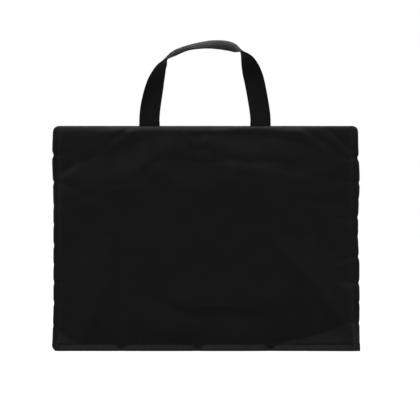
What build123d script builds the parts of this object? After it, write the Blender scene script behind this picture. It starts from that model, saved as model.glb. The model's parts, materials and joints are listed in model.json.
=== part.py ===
"""Portfolio case: two padded covers that open flat from a spine, and a zip round the other three sides.

Millimetres. +Z is up and the front is -Y. The case stands closed on its spine, and the origin is the middle
of the spine's underside. Each cover is a sewn sandwich of nylon shell, foam, board and lining.
"""

import os
from math import cos, radians, sin

from build123d import *

# The closed case
WIDTH = 480.0
HEIGHT = 354.0
GAP = 18.0  # between the two covers' inner faces
COVER = 8.0  # thickness of one cover
HALF = GAP / 2 + COVER  # from the middle plane to a cover's outer face
CORNER = 11.0  # radius of the covers' top corners
EDGE_ROUND = 2.0  # soft edge round a cover's outer face

# Layers of a cover, outside to inside
SHELL = 0.8
FOAM = 4.5
BOARD = 2.0
LINING = 0.7
CLEAR = 0.1  # between the lining's edge and the shell's rim
FILL_INSET = 6.0  # foam and board stay this far inside the cover's edges

# Spine
SPINE_PANEL = 0.8
SPINE_BOARD = 1.2
SPINE_LINING = 0.5
SPINE_TOP = SPINE_PANEL + SPINE_BOARD + SPINE_LINING
SPINE_END = 2.0  # the spine stops this far short of the covers at each end
SPINE_LONG = WIDTH - 2 * SPINE_END
SPINE_BOARD_IN = (8.0, 3.0)  # from the nylon strip's ends and sides in to the board
SPINE_LINING_IN = (4.0, 0.5)  # and in to the lining
COVER_FOOT = SPINE_TOP + 0.5  # the covers start just above the spine

# Zip: size 5 coil, which runs up one side, along the top and down the other
ZIP_INSET = 7.0  # from the covers' edges in to the middle of the tape
ZIP_CORNER = 16.0  # tight enough for the corners of an A3 sheet to pass the tape
ZIP_FOOT = 15.5
TAPE = 0.7
TAPE_FLANGE = 8.0  # the part of the tape that is sewn flat inside the cover
COIL_WIDE = 2.7
COIL_THICK = 1.4
COIL_PARTING = 0.5  # from the middle plane to each row
HEM = 1.6  # turned-in edge of the shell, as thick as the webbing that passes through it
HEM_INSET = (5.0, 17.0)
TAB = 1.2  # folded nylon tab over each end of the zip
TAB_WIDE = 16.0
TAB_TOP = ZIP_FOOT - 0.5  # just short of the zip's end
TAB_CORNER = 2.0

# Handles: 32 mm webbing
STRAP = 32.0
STRAP_THICK = 1.6
STRAP_SLACK = 0.4  # room on each side of the strap where it passes the hem
END_LENGTH = 50.0  # sewn length inside the cover
END_TOP = 1.4  # the sewn ends stand this far above the covers
SWING_UP = 2.0  # height of the swing axis above the covers
SWING_OUT = 3.7  # from a cover's outer face in to the swing axis
HANG = 170.0  # degrees from upright to hanging behind the case
# Route of the strap above the covers: x, height, and how far it has turned from facing front to facing up.
STRAP_ROUTE = [
    (-89.0, 3.0, 0.0),
    (-88.4, 20.0, 6.0),
    (-87.0, 36.0, 14.0),
    (-82.5, 60.0, 35.0),
    (-75.0, 84.0, 58.0),
    (-63.0, 102.0, 86.0),
    (-41.0, 116.5, 106.0),
    (-17.0, 123.5, 109.0),
    (5.0, 126.5, 117.0),
    (25.5, 126.0, 119.0),
    (44.5, 121.0, 112.0),
    (60.0, 109.0, 76.0),
    (70.0, 89.0, 38.0),
    (76.5, 62.0, 24.0),
    (82.0, 36.0, 14.0),
    (85.0, 20.0, 6.0),
    (86.5, 3.0, 0.0),
]
STRAP_FEET = (STRAP_ROUTE[0][0], STRAP_ROUTE[-1][0])

# Sliders
SLIDER_LONG = 11.0
SLIDER_REST = 8.0  # each slider's middle, from the middle of the case
CHANNEL = 3.75  # half width of the channel for the coil
FLANGE = 0.95
WING = 0.9
CHANNEL_HIGH = 1.0  # half height of the channel
SLOT = 0.65  # half height of the side slot for the tape
DIVIDER = (3.0, 0.6)
SLIDER_CORNER = 2.2
BRIDGE_LONG = 7.0
BRIDGE_WIDE = 1.6
BRIDGE_TOP = 5.0
BRIDGE_POST = 1.2
BRIDGE_BAR = 0.9
BRIDGE_CORNER = 0.8

# Pulls
PULL_LONG = 27.0
PULL_WIDE = 6.4
PULL_NECK = 5.0
PULL_FLARE = (8.0, 12.0)  # where the pull widens, from the pivot
PULL_CORNER = 2.4
PULL_THICK = 1.2
PULL_PIVOT = 3.0  # height of the pivot above the middle of the tape
PULL_WINDOW = 2.4
PULL_WINDOW_END = 4.3
PULL_PIN = 0.6
PULL_HOLE = 1.5
PULL_HOLE_END = 4.0  # from the tip in to the hole's middle

ZIP_TOP = HEIGHT - ZIP_INSET
SIDES = {"front": -1, "back": 1}

os.makedirs("parts", exist_ok=True)


def keep(part, name):
    """Labels a finished piece and writes its STEP file."""
    part.label = name
    export_step(part, f"parts/{name}.step")


def into(side, depth):
    """The upright plane at a depth into a cover, measured from its outer face."""
    return Plane.XZ.offset(-side * (HALF - depth))


def panel(inset, radius, foot):
    """A cover's outline, inset at both sides and the top, with round top corners and a square foot."""
    with BuildSketch() as outline:
        top = HEIGHT - inset
        with Locations((0, (top + foot) / 2)):
            Rectangle(WIDTH - 2 * inset, top - foot)
        fillet(outline.vertices().group_by(Axis.Y)[-1], radius)
    return outline.sketch


def band(outer, inner, foot):
    """A band round the two sides and the top, between two insets, whose corners share the zip's centres."""
    with BuildSketch() as strip:
        add(panel(outer, ZIP_CORNER + ZIP_INSET - outer, foot))
        add(panel(inner, ZIP_CORNER + ZIP_INSET - inner, foot - 1), mode=Mode.SUBTRACT)
    return strip.sketch


def layer(side, depth, thickness, outline):
    """Adds an outline to the current part, as a layer that starts at a depth into a cover."""
    with BuildSketch(into(side, depth)) as flat:
        add(outline)
    extrude(flat.sketch, amount=side * thickness)


# Spine: a nylon strip, a stiff board and a lining strip

spine_layers = [
    ("spine_panel", 0.0, SPINE_PANEL, (0.0, 0.0)),
    ("spine_board", SPINE_PANEL, SPINE_BOARD, SPINE_BOARD_IN),
    ("spine_lining", SPINE_PANEL + SPINE_BOARD, SPINE_LINING, SPINE_LINING_IN),
]
for name, height, thickness, (end_in, side_in) in spine_layers:
    with BuildPart() as strip:
        with BuildSketch(Plane.XY.offset(height)):
            Rectangle(SPINE_LONG - 2 * end_in, 2 * (HALF - side_in))
        extrude(amount=thickness)
    keep(strip.part, name)

# Tabs that close the two ends of the zip

for name, end in (("left", -1), ("right", 1)):
    with BuildPart() as tab:
        with BuildSketch(Plane.YZ.offset(end * (WIDTH / 2 - ZIP_INSET) - TAB / 2)) as face:
            with Locations((0, (SPINE_TOP + TAB_TOP) / 2)):
                Rectangle(TAB_WIDE, TAB_TOP - SPINE_TOP)
            fillet(face.vertices().group_by(Axis.Y)[-1], TAB_CORNER)
        extrude(amount=TAB)
    keep(tab.part, f"zip_end_tab_{name}")

# Covers, front and back alike

foam_depth = SHELL
board_depth = foam_depth + FOAM
lining_depth = board_depth + BOARD
tape_depth = COVER + HEM
coil_depth = HALF - COIL_PARTING - COIL_WIDE
lining_inset = SHELL + CLEAR
filling = panel(FILL_INSET, CORNER - FILL_INSET, COVER_FOOT + FILL_INSET)

for name, side in SIDES.items():
    with BuildPart() as shell:
        layer(side, 0, COVER, panel(0, CORNER, COVER_FOOT))
        outer_face = shell.faces().sort_by(Axis.Y)[0 if side < 0 else -1]
        fillet(outer_face.edges(), EDGE_ROUND)
        with BuildSketch(into(side, SHELL)):
            add(panel(SHELL, CORNER - SHELL, COVER_FOOT + SHELL))
        extrude(amount=side * COVER, mode=Mode.SUBTRACT)
    keep(shell.part, f"{name}_shell")

    with BuildPart() as foam:
        layer(side, foam_depth, FOAM, filling)
    keep(foam.part, f"{name}_foam")

    with BuildPart() as board:
        layer(side, board_depth, BOARD, filling)
    keep(board.part, f"{name}_board")

    with BuildPart() as lining:
        layer(side, lining_depth, LINING, panel(lining_inset, CORNER - lining_inset, COVER_FOOT + lining_inset))
    keep(lining.part, f"{name}_lining")

    with BuildPart() as hem:
        layer(side, COVER, HEM, band(*HEM_INSET, ZIP_FOOT))
        with BuildSketch(into(side, COVER)):
            with Locations(*[(x, HEIGHT) for x in STRAP_FEET]):
                Rectangle(STRAP + 2 * STRAP_SLACK, 2 * HEM_INSET[1] + 2)
        extrude(amount=side * HEM, mode=Mode.SUBTRACT)
    keep(hem.part, f"{name}_hem")

    with BuildPart() as tape:
        outer = ZIP_INSET - TAPE / 2
        layer(side, tape_depth, TAPE, band(outer, outer + TAPE_FLANGE, ZIP_FOOT))
        layer(side, tape_depth, coil_depth - tape_depth, band(outer, outer + TAPE, ZIP_FOOT))
    keep(tape.part, f"{name}_zip_tape")

    with BuildPart() as coil:
        outer = ZIP_INSET - COIL_THICK / 2
        layer(side, coil_depth, COIL_WIDE, band(outer, outer + COIL_THICK, ZIP_FOOT))
    keep(coil.part, f"{name}_zip_coil")

    with BuildPart() as ends:
        with BuildSketch(into(side, COVER)):
            with Locations(*[(x, HEIGHT + END_TOP - END_LENGTH / 2) for x in STRAP_FEET]):
                Rectangle(STRAP, END_LENGTH)
        extrude(amount=side * STRAP_THICK)
    keep(ends.part, f"{name}_handle_ends")

# Handles: one strap each, whose legs face front and whose top lies on its side for the hand


def strap_sections(middle):
    """Planes across the strap, from foot to foot, with the strap's width along each plane's x."""
    spots = [Vector(x, middle, HEIGHT + height) for x, height, turn in STRAP_ROUTE]
    for i, (x, height, turn) in enumerate(STRAP_ROUTE):
        ahead = spots[min(i + 1, len(spots) - 1)] - spots[max(i - 1, 0)]
        along = Vector(0, 0, 1 if i == 0 else -1) if turn == 0 else ahead.normalized()
        inward = Vector(along.Z, 0, -along.X)
        across = inward * cos(radians(turn)) + Vector(0, 1, 0) * sin(radians(turn))
        yield Plane(origin=spots[i], x_dir=across, z_dir=along)


def swing_axis(side):
    """The line at a cover's top edge that its handle swings about."""
    return Axis((0, side * (HALF - SWING_OUT), HEIGHT + SWING_UP), (1, 0, 0))


for name, side in SIDES.items():
    with BuildPart() as handle:
        for section in strap_sections(side * (HALF - COVER - STRAP_THICK / 2)):
            with BuildSketch(section):
                Rectangle(STRAP, STRAP_THICK)
        loft(ruled=True)
    strap = handle.part
    if name == "back":
        strap = strap.rotate(swing_axis(side), -HANG)
    keep(strap, f"{name}_handle")

# Sliders, which meet head to head at the middle of the top


def slider_outline():
    """The top view of a slider's wings."""
    with BuildSketch() as outline:
        Rectangle(SLIDER_LONG, 2 * (CHANNEL + FLANGE))
        fillet(outline.vertices(), SLIDER_CORNER)
    return outline.sketch


for name, end in (("left", -1), ("right", 1)):
    middle = end * SLIDER_REST
    base = Plane((middle, 0, ZIP_TOP))
    with BuildPart() as slider:
        with BuildSketch(base.offset(-CHANNEL_HIGH - WING)):
            add(slider_outline())
        extrude(amount=2 * (CHANNEL_HIGH + WING))
        with BuildSketch(base.offset(-CHANNEL_HIGH)):
            Rectangle(SLIDER_LONG + 1, 2 * CHANNEL)
        extrude(amount=2 * CHANNEL_HIGH, mode=Mode.SUBTRACT)
        with BuildSketch(base.offset(-SLOT)):
            Rectangle(SLIDER_LONG + 1, 2 * (CHANNEL + FLANGE) + 1)
        extrude(amount=2 * SLOT, mode=Mode.SUBTRACT)
        with BuildSketch(base.offset(-CHANNEL_HIGH)):
            with Locations((-end * (SLIDER_LONG - DIVIDER[0]) / 2, 0)):
                Rectangle(*DIVIDER)
        extrude(amount=2 * CHANNEL_HIGH)
        with BuildSketch(Plane.XZ.offset(BRIDGE_WIDE / 2)):
            foot = ZIP_TOP + CHANNEL_HIGH + WING
            top = ZIP_TOP + BRIDGE_TOP
            with Locations((middle, (foot + top) / 2)):
                Rectangle(BRIDGE_LONG, top - foot)
            with Locations((middle, (foot + top - BRIDGE_BAR) / 2)):
                Rectangle(BRIDGE_LONG - 2 * BRIDGE_POST, top - BRIDGE_BAR - foot, mode=Mode.SUBTRACT)
        extrude(amount=-BRIDGE_WIDE)
        bridge_ends = slider.edges().filter_by(Axis.Y).group_by(Axis.Z)[-1]
        fillet(bridge_ends, BRIDGE_CORNER)
    keep(slider.part, f"{name}_slider")

    with BuildPart() as pull:
        with BuildSketch(base.offset(PULL_PIVOT - PULL_THICK / 2)) as plate:
            with BuildLine():
                half = [
                    (-PULL_PIN, PULL_NECK / 2),
                    (PULL_FLARE[0], PULL_NECK / 2),
                    (PULL_FLARE[1], PULL_WIDE / 2),
                    (PULL_LONG, PULL_WIDE / 2),
                ]
                outline = half + [(x, -y) for x, y in reversed(half)]
                Polyline(*[(end * x, y) for x, y in outline], close=True)
            make_face()
            outer_corners = plate.vertices().group_by(Axis.X)[0 if end < 0 else -1]
            fillet(outer_corners, PULL_CORNER)
            with Locations((end * PULL_WINDOW_END / 2, 0)):
                Rectangle(PULL_WINDOW_END, PULL_WINDOW, mode=Mode.SUBTRACT)
            with Locations((end * (PULL_LONG - PULL_HOLE_END), 0)):
                Circle(PULL_HOLE, mode=Mode.SUBTRACT)
        extrude(amount=PULL_THICK)
        with BuildSketch(Plane.XZ.offset(PULL_NECK / 2)):
            with Locations((middle, ZIP_TOP + PULL_PIVOT)):
                Circle(PULL_PIN)
        extrude(amount=-PULL_NECK)
    keep(pull.part, f"{name}_pull")
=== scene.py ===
# %% [markdown]
# # A padded portfolio case
# This lesson dresses a flat, zipped case for drawings: two padded nylon covers on a spine, a coil zip round the
# other three sides, and a webbing handle on each cover. The engineering model gives every size and every hinge,
# and here its plain stand-ins become cloth. Everything is in metres, with the case standing on its spine.

# %% Load the frame
import json
import math

import bmesh
import bpy
import numpy as np
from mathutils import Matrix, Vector, noise
from mathutils.bvhtree import BVHTree


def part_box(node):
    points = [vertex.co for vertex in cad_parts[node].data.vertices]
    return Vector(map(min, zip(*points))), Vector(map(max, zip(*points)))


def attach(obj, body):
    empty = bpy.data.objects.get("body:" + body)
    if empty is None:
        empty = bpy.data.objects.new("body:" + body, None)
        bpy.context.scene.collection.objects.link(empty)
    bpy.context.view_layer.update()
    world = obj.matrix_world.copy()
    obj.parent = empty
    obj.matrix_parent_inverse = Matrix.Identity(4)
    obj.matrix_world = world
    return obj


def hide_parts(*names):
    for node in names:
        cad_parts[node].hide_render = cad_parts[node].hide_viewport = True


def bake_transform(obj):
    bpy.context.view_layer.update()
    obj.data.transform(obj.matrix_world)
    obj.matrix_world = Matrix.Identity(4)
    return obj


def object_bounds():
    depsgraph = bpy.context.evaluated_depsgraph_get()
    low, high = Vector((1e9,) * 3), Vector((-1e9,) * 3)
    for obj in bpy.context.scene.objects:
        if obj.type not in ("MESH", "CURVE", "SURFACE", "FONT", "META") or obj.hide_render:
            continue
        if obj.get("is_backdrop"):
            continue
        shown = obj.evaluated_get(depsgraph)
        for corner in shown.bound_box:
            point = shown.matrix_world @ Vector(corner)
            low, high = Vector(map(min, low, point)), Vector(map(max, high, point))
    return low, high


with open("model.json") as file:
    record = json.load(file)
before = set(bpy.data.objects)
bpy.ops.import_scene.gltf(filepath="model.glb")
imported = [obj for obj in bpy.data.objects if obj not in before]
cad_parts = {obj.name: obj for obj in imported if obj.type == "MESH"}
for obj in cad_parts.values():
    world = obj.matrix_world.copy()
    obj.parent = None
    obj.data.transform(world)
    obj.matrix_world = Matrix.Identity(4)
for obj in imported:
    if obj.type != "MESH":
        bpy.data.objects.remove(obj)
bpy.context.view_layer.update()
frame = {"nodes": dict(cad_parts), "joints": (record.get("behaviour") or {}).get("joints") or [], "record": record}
MM = 0.001

# %% [markdown]
# A case is seen square from the front, from far away through a long lens, so that its sides stay parallel. The
# long lens needs no shift, because the camera stands level with the middle of its picture.

# %% Camera
VIEW_SIZE = 0.660  # what the picture covers at the front of the case
VIEW_MIDDLE = Vector((0.0067, 0, 0.2215))
CAMERA_DISTANCE = 4.0

shell_low, shell_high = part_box("front_shell")
camera = bpy.data.objects.new("camera", bpy.data.cameras.new("camera"))
bpy.context.scene.collection.objects.link(camera)
camera.location = VIEW_MIDDLE + Vector((0, shell_low.y - CAMERA_DISTANCE, 0))
camera.rotation_euler = (math.radians(90), 0, 0)
camera.data.lens = camera.data.sensor_width * CAMERA_DISTANCE / VIEW_SIZE
camera.data.clip_end = 50
bpy.context.scene.camera = camera
print("lens", round(camera.data.lens), "mm")

# %% [markdown]
# Black cloth shows its shape only by what it reflects. Two large, soft lamps stand above the case, one in front and
# one behind. The sky lights it from the sides, and is darker in front, as if a dark card stood there, so that flat
# cloth stays black and only the folds catch light. To the camera the floor and the sky are pale and plain.

# %% Floor, sky and lights
scene = bpy.context.scene
scene.view_settings.view_transform = "Standard"
world = bpy.data.worlds.new("white studio")
scene.world = world
world.use_nodes = True
SKY_SEEN, SKY_LIGHT = 1.0, 0.5  # the sky's brightness as a backdrop, and as a light
DARK_CARD = 0.11  # a dark card stands in front of the case
CARD_FULL, CARD_END = -0.97, -0.35  # a direction's y where the card is darkest, and where the card ends
FLOOR_SEEN, FLOOR_GREY = 0.92, 0.3  # the floor's glow to the camera, and its own colour
LAMP_SIZE, LAMP_POWER = 1.4, 14
LAMP_AIM = Vector((0, 0, 0.2))


def seen_and_lit(tree, seen, lit):
    """A value that is one thing to the camera and another to everything else."""
    rays = tree.nodes.new("ShaderNodeLightPath")
    choice = tree.nodes.new("ShaderNodeMapRange")
    choice.inputs["To Max"].default_value = seen
    if isinstance(lit, float):
        choice.inputs["To Min"].default_value = lit
    else:
        tree.links.new(lit, choice.inputs["To Min"])
    tree.links.new(rays.outputs["Is Camera Ray"], choice.inputs["Value"])
    return choice.outputs["Result"]


sky_tree = world.node_tree
sky = sky_tree.nodes["Background"]
sky.inputs["Color"].default_value = (1, 1, 1, 1)
way = sky_tree.nodes.new("ShaderNodeSeparateXYZ")
sky_tree.links.new(sky_tree.nodes.new("ShaderNodeTexCoord").outputs["Generated"], way.inputs["Vector"])
tent = sky_tree.nodes.new("ShaderNodeMapRange")
tent.inputs["From Min"].default_value = CARD_FULL
tent.inputs["From Max"].default_value = CARD_END
tent.inputs["To Min"].default_value = DARK_CARD
tent.inputs["To Max"].default_value = SKY_LIGHT
sky_tree.links.new(way.outputs["Y"], tent.inputs["Value"])
sky_tree.links.new(seen_and_lit(sky_tree, SKY_SEEN, tent.outputs["Result"]), sky.inputs["Strength"])


def deselect():
    """Leaves nothing selected, so that the next operator acts only on what it is given."""
    bpy.ops.object.select_all(action="DESELECT")


def alone(obj):
    """Selects one object, and makes it the one that operators act on."""
    deselect()
    obj.select_set(True)
    bpy.context.view_layer.objects.active = obj
    return obj


deselect()
bpy.ops.mesh.primitive_plane_add(size=30, location=(0, 0, -0.0005))
floor = bpy.context.object
floor.name = "floor"
floor_paint = bpy.data.materials.new("pale floor")
floor_paint.use_nodes = True
floor_shader = floor_paint.node_tree.nodes["Principled BSDF"]
floor_shader.inputs["Base Color"].default_value = (FLOOR_GREY, FLOOR_GREY, FLOOR_GREY, 1)
floor_shader.inputs["Roughness"].default_value = 0.9
floor_shader.inputs["Emission Color"].default_value = (1, 1, 1, 1)
floor_glow = seen_and_lit(floor_paint.node_tree, FLOOR_SEEN, 0.0)
floor_paint.node_tree.links.new(floor_glow, floor_shader.inputs["Emission Strength"])
floor.data.materials.append(floor_paint)
floor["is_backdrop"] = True


def soft_box(name, place):
    """A square area light that points at the middle of the case."""
    lamp = bpy.data.objects.new(name, bpy.data.lights.new(name, "AREA"))
    lamp.data.size = LAMP_SIZE
    lamp.data.energy = LAMP_POWER
    lamp.location = place
    aim = LAMP_AIM - lamp.location
    lamp.rotation_euler = aim.to_track_quat("-Z", "Y").to_euler()
    scene.collection.objects.link(lamp)


soft_box("top light", Vector((-0.2, -0.9, 2.4)))
soft_box("back light", Vector((0.4, 2.2, 1.8)))

# %% [markdown]
# ## Finishes
# Every cloth here is woven, so one weave serves them all: two sets of threads that cross, each a wave, drawn where
# the other dips. It is a node group with the thread's width as an input, and each finish gives it its own.

# %% Weave node group


def group_socket(group, name, kind, way, default=None):
    """Adds a named socket to a node group."""
    socket = group.interface.new_socket(name=name, socket_type=kind, in_out=way)
    if default is not None:
        socket.default_value = default
    return socket


def math_node(tree, operation, a, b=None):
    """A Math node with its inputs linked or set."""
    node = tree.nodes.new("ShaderNodeMath")
    node.operation = operation
    for socket, value in zip(node.inputs, (a, b)):
        if value is None:
            continue
        if isinstance(value, (int, float)):
            socket.default_value = value
        else:
            tree.links.new(value, socket)
    return node.outputs[0]


def make_weave():
    """Plain weave: Along and Across are metres on the cloth, and Height is 0 between threads and 1 on them."""
    group = bpy.data.node_groups.new("plain weave", "ShaderNodeTree")
    group_socket(group, "Along", "NodeSocketFloat", "INPUT")
    group_socket(group, "Across", "NodeSocketFloat", "INPUT")
    group_socket(group, "Thread", "NodeSocketFloat", "INPUT", 0.0005)
    group_socket(group, "Height", "NodeSocketFloat", "OUTPUT")
    start = group.nodes.new("NodeGroupInput").outputs
    end = group.nodes.new("NodeGroupOutput").inputs
    turns = {}
    for name in ("Along", "Across"):
        threads = math_node(group, "DIVIDE", start[name], start["Thread"])
        turns[name] = math_node(group, "MULTIPLY", threads, math.pi)
    waves = {name: math_node(group, "SINE", turn) for name, turn in turns.items()}
    over = math_node(group, "MULTIPLY", waves["Along"], waves["Across"])
    rounds = {name: math_node(group, "ABSOLUTE", wave) for name, wave in waves.items()}
    warp = math_node(group, "MULTIPLY", rounds["Along"], math_node(group, "ADD", over, 1.0))
    weft = math_node(group, "MULTIPLY", rounds["Across"], math_node(group, "SUBTRACT", 1.0, over))
    height = math_node(group, "MULTIPLY", math_node(group, "MAXIMUM", warp, weft), 0.5)
    group.links.new(height, end["Height"])
    return group


weave = make_weave()
print("weave group nodes", len(weave.nodes))

# %% [markdown]
# A cloth finish is the weave as a bump, a soft cloudiness in its colour and its gloss from use, and a sheen for the
# fine hairs. On a sewn piece the threads follow the object's own space, with depth added to both directions so that
# they carry on round an edge. On a strap they follow the strap's own map.

# %% Cloth finish
CLOUD_LOW, CLOUD_HIGH = 0.35, 0.65  # the noise values between which a finish goes from one tone to the other
COLOUR_CLOUDS, GLOSS_CLOUDS = 18, 35  # clouds to a metre, in a cloth's colour and in its gloss


def new_finish(name):
    """An empty material and its shader."""
    material = bpy.data.materials.new(name)
    material.use_nodes = True
    return material, material.node_tree, material.node_tree.nodes["Principled BSDF"]


def cloudy(tree, place, scale, low, high):
    """A soft noise between two colours, or two grey values."""
    cloud = tree.nodes.new("ShaderNodeTexNoise")
    cloud.inputs["Scale"].default_value = scale
    cloud.inputs["Detail"].default_value = 3.0
    tree.links.new(place, cloud.inputs["Vector"])
    ramp = tree.nodes.new("ShaderNodeValToRGB")
    ramp.color_ramp.elements[0].position = CLOUD_LOW
    ramp.color_ramp.elements[1].position = CLOUD_HIGH
    for element, value in zip(ramp.color_ramp.elements, (low, high)):
        element.color = (value, value, value, 1) if isinstance(value, float) else (*value, 1)
    tree.links.new(cloud.outputs["Fac"], ramp.inputs["Fac"])
    return ramp.outputs["Color"]


def cloth_finish(name, dark, light, thread, bump, rough=(0.5, 0.62), sheen=0.08, shine=0.4, mapped=None):
    """A woven cloth. Mapped is the real size of a strap's map; without it the weave follows the object's space."""
    material, tree, shader = new_finish(name)
    place = tree.nodes.new("ShaderNodeTexCoord")
    parts = tree.nodes.new("ShaderNodeSeparateXYZ")
    if mapped:
        tree.links.new(place.outputs["UV"], parts.inputs["Vector"])
        across = math_node(tree, "MULTIPLY", parts.outputs["X"], mapped[0])
        along = math_node(tree, "MULTIPLY", parts.outputs["Y"], mapped[1])
    else:
        tree.links.new(place.outputs["Object"], parts.inputs["Vector"])
        across = math_node(tree, "ADD", parts.outputs["X"], parts.outputs["Y"])
        along = math_node(tree, "ADD", parts.outputs["Z"], parts.outputs["Y"])
    threads = tree.nodes.new("ShaderNodeGroup")
    threads.node_tree = weave
    threads.inputs["Thread"].default_value = thread
    tree.links.new(across, threads.inputs["Across"])
    tree.links.new(along, threads.inputs["Along"])
    raised = tree.nodes.new("ShaderNodeBump")
    raised.inputs["Strength"].default_value = bump
    raised.inputs["Distance"].default_value = thread * 0.4
    tree.links.new(threads.outputs["Height"], raised.inputs["Height"])
    tree.links.new(raised.outputs["Normal"], shader.inputs["Normal"])
    tree.links.new(cloudy(tree, place.outputs["Object"], COLOUR_CLOUDS, dark, light), shader.inputs["Base Color"])
    tree.links.new(cloudy(tree, place.outputs["Object"], GLOSS_CLOUDS, *rough), shader.inputs["Roughness"])
    shader.inputs["Sheen Weight"].default_value = sheen
    shader.inputs["Sheen Roughness"].default_value = 0.45
    shader.inputs["Specular IOR Level"].default_value = shine
    return material


STRAP_WIDE = 32 * MM
STRAP_CUT = 454 * MM  # length of webbing in one handle, with its sewn ends
finishes = {
    "nylon": cloth_finish("black nylon", (0.0048, 0.0048, 0.0051), (0.0064, 0.0064, 0.0068), 0.45 * MM, 0.35,
                          rough=(0.36, 0.44), sheen=0.02),
    "lining": cloth_finish("grey lining", (0.026, 0.026, 0.028), (0.034, 0.034, 0.036), 0.3 * MM, 0.4),
    "binding": cloth_finish("turned nylon", (0.008, 0.008, 0.0085), (0.010, 0.010, 0.0105), 0.45 * MM, 0.5),
    "zip_tape": cloth_finish("zip tape", (0.009, 0.009, 0.0095), (0.012, 0.012, 0.0125), 0.35 * MM, 0.5),
    "webbing": cloth_finish("black webbing", (0.0045, 0.0045, 0.005), (0.007, 0.007, 0.0075), 1.3 * MM, 0.9,
                            sheen=0.02, shine=0.25, mapped=(STRAP_WIDE, STRAP_CUT)),
}
print("cloths", sorted(finishes))

# %% [markdown]
# The coil and the sewing thread are black plastic with a soft gloss. The sliders and their pulls are cast zinc with
# black lacquer, worn in places: one noise makes small spots of it paler, and a finer one makes some duller.

# %% Plastic, metal, foam and board finishes


def plain_finish(name, dark, light, scale, rough, metal=0.0):
    """A finish with a little cloudiness in its colour and its gloss."""
    material, tree, shader = new_finish(name)
    place = tree.nodes.new("ShaderNodeTexCoord").outputs["Object"]
    tree.links.new(cloudy(tree, place, scale, dark, light), shader.inputs["Base Color"])
    tree.links.new(cloudy(tree, place, scale * 2, *rough), shader.inputs["Roughness"])
    shader.inputs["Metallic"].default_value = metal
    return material


finishes["zip_coil"] = plain_finish("black coil", (0.008, 0.008, 0.0085), (0.012, 0.012, 0.0125), 200, (0.3, 0.4))
finishes["thread"] = plain_finish("black thread", (0.010, 0.010, 0.0105), (0.014, 0.014, 0.0145), 400, (0.45, 0.6))
finishes["zip_metal"] = plain_finish("black lacquer", (0.012, 0.012, 0.013), (0.03, 0.03, 0.032), 300, (0.25, 0.4),
                                     metal=0.6)
finishes["foam"] = plain_finish("grey foam", (0.2, 0.2, 0.2), (0.27, 0.27, 0.27), 900, (0.85, 0.95))
finishes["board"] = plain_finish("grey board", (0.3, 0.28, 0.25), (0.38, 0.36, 0.32), 500, (0.8, 0.9))
print("finishes", sorted(finishes))

# %% [markdown]
# These are the steps that many pieces share: modifiers are applied, edges are shaded smooth, and the piece is named
# and gets its finish. Many pieces are shaped by moving all of their points at once, which is quick when the points
# are handled as one array.

# %% Small helpers for finishing a piece


def smooth(obj, angle=60):
    """Smooth shading, with edges sharper than the angle left crisp."""
    alone(obj)
    bpy.ops.object.shade_smooth_by_angle(angle=math.radians(angle))


def apply_all(obj):
    """Applies every modifier, in order."""
    alone(obj)
    for modifier in list(obj.modifiers):
        bpy.ops.object.modifier_apply(modifier=modifier.name)


def settle(obj):
    """Puts an object's place into its mesh, so that the object sits unturned at the origin."""
    alone(obj)
    bpy.ops.object.transform_apply(location=True, rotation=True, scale=True)


def dress(obj, name, finish):
    """Names a piece and gives it its finish."""
    obj.name = name
    obj.data.name = name
    obj.data.materials.clear()
    obj.data.materials.append(finishes[finish])
    return obj


def points_of(obj):
    """An object's points, as an array of metres."""
    places = np.zeros(len(obj.data.vertices) * 3, np.float32)
    obj.data.vertices.foreach_get("co", places)
    return places.reshape(-1, 3).astype(float)


def move_points(obj, places):
    """Gives an object's points new places."""
    obj.data.vertices.foreach_set("co", places.astype(np.float32).ravel())
    obj.data.update()


def thicken(obj, thick):
    """Gives a sheet its thickness, half on each side, and applies it."""
    wall = obj.modifiers.new("thickness", "SOLIDIFY")
    wall.thickness = thick * MM
    wall.offset = 0
    apply_all(obj)


def turn_to_back(obj):
    """Mirrors a front piece to the back of the case, and keeps its faces pointing out."""
    places = points_of(obj)
    places[:, 1] *= -1
    move_points(obj, places)
    obj.data.flip_normals()

# %% [markdown]
# ## Padded covers
# A cover is nylon pulled over foam. It is sewn to the lining a little way in from its edges, so it has a soft roll
# round its rim and a shallow groove along the seam. The nylon is a little too large for what it covers, and hangs
# in folds: long arcs under each end of the handle, puckers along the seams, and a few crossing creases.
#
# A cover starts as a box with rounded corners, and a voxel remesh spreads points evenly over it. A cloth simulation
# could swell it, but taut cloth over a stiff board swells by little, and its folds have their own places. So the
# swell between the seams and the folds are pressed in by moving the points, as a sculptor would.

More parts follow.
